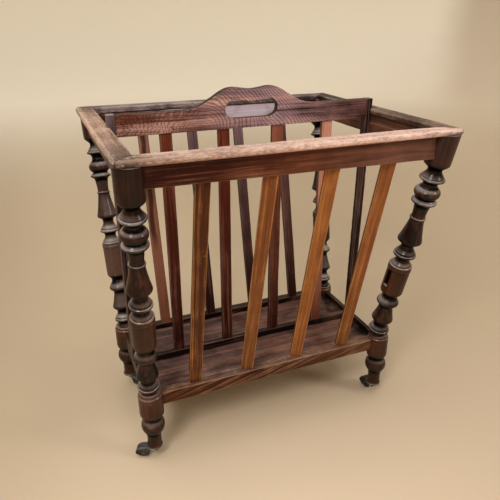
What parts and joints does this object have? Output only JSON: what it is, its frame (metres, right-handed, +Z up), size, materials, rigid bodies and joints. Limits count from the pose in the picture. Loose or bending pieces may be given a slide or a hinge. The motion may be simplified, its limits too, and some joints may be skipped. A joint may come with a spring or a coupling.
{
  "type": "rolling magazine rack",
  "caption": "Open wooden magazine rack with turned raked legs, slatted sides, a central divider with a shaped carrying handle, a shallow tray and swivel casters.",
  "frame": {"origin": "on the floor, at the centre of the rack's outline seen from above", "axes": "+Z up; +X along the length of the rack to the right of the front view; +Y from the front to the back"},
  "size_m": [0.4636, 0.3853, 0.5389],
  "materials": {
    "turned_wood": "polished rosewood, worn satin, nearly black in the turned grooves",
    "rail_wood": "old polished rosewood, satin",
    "cap_wood": "rosewood worn pale on top with darker edges",
    "floor_wood": "dull, dusty and scratched rosewood",
    "board_wood": "figured rosewood with dark wavy grain, satin",
    "front_slat_wood": "orange-brown wood, satin",
    "dark_slat_wood": "dark red-brown wood, satin",
    "horn_metal": "worn grey metal, brighter on the top edges",
    "fitting_metal": "dulled steel",
    "wheel_metal": "nearly black iron with a worn tread"
  },
  "bodies": {
    "carcass": {"post_front_left": "turned_wood", "post_front_right": "turned_wood", "post_back_left": "turned_wood", "post_back_right": "turned_wood", "foot_front_left": "turned_wood", "foot_front_right": "turned_wood", "foot_back_left": "turned_wood", "foot_back_right": "turned_wood", "tray_front_rail": "rail_wood", "tray_back_rail": "rail_wood", "tray_left_rail": "rail_wood", "tray_right_rail": "rail_wood", "frieze_front": "rail_wood", "frieze_back": "rail_wood", "frieze_left": "rail_wood", "frieze_right": "rail_wood", "cap_front": "cap_wood", "cap_right": "cap_wood", "cap_back": "cap_wood", "cap_left": "cap_wood", "tray_floor": "floor_wood", "divider_bottom_rail": "floor_wood", "handle_board": "board_wood", "front_slat_1": "front_slat_wood", "front_slat_2": "front_slat_wood", "front_slat_3": "front_slat_wood", "front_slat_4": "front_slat_wood", "back_slat_1": "dark_slat_wood", "back_slat_2": "dark_slat_wood", "back_slat_3": "dark_slat_wood", "back_slat_4": "dark_slat_wood", "divider_slat_1": "dark_slat_wood", "divider_slat_2": "dark_slat_wood", "divider_slat_3": "dark_slat_wood", "divider_slat_4": "dark_slat_wood", "stile_left": "dark_slat_wood", "stile_right": "dark_slat_wood", "caster_plate_front_left": "fitting_metal", "caster_plate_front_right": "fitting_metal", "caster_plate_back_left": "fitting_metal", "caster_plate_back_right": "fitting_metal"},
    "swivel_front_left": {"caster_horn_front_left": "horn_metal", "caster_axle_front_left": "fitting_metal"},
    "wheel_front_left": {"caster_wheel_front_left": "wheel_metal"},
    "swivel_front_right": {"caster_horn_front_right": "horn_metal", "caster_axle_front_right": "fitting_metal"},
    "wheel_front_right": {"caster_wheel_front_right": "wheel_metal"},
    "swivel_back_left": {"caster_horn_back_left": "horn_metal", "caster_axle_back_left": "fitting_metal"},
    "wheel_back_left": {"caster_wheel_back_left": "wheel_metal"},
    "swivel_back_right": {"caster_horn_back_right": "horn_metal", "caster_axle_back_right": "fitting_metal"},
    "wheel_back_right": {"caster_wheel_back_right": "wheel_metal"}
  },
  "joints": [
    {"name": "caster_swivel_front_left", "type": "hinge", "parent": "carcass", "child": "swivel_front_left", "pos_m": [-0.2015, -0.0976, 0.0224], "axis": [0, 0, 1], "continuous": true},
    {"name": "wheel_spin_front_left", "type": "hinge", "parent": "swivel_front_left", "child": "wheel_front_left", "pos_m": [-0.21715, -0.09096, 0.01], "axis": [-0.3907, -0.9205, 0], "continuous": true},
    {"name": "caster_swivel_front_right", "type": "hinge", "parent": "carcass", "child": "swivel_front_right", "pos_m": [0.2015, -0.0976, 0.0224], "axis": [0, 0, 1], "continuous": true},
    {"name": "wheel_spin_front_right", "type": "hinge", "parent": "swivel_front_right", "child": "wheel_front_right", "pos_m": [0.20031, -0.08064, 0.01], "axis": [-0.9976, -0.0698, 0], "continuous": true},
    {"name": "caster_swivel_back_left", "type": "hinge", "parent": "carcass", "child": "swivel_back_left", "pos_m": [-0.2015, 0.0976, 0.0224], "axis": [0, 0, 1], "continuous": true},
    {"name": "wheel_spin_back_left", "type": "hinge", "parent": "swivel_back_left", "child": "wheel_back_left", "pos_m": [-0.19103, 0.0842, 0.01], "axis": [0.788, 0.6157, 0], "continuous": true},
    {"name": "caster_swivel_back_right", "type": "hinge", "parent": "carcass", "child": "swivel_back_right", "pos_m": [0.2015, 0.0976, 0.0224], "axis": [0, 0, 1], "continuous": true},
    {"name": "wheel_spin_back_right", "type": "hinge", "parent": "swivel_back_right", "child": "wheel_back_right", "pos_m": [0.21543, 0.10735, 0.01], "axis": [-0.5736, 0.8192, 0], "continuous": true}
  ]
}
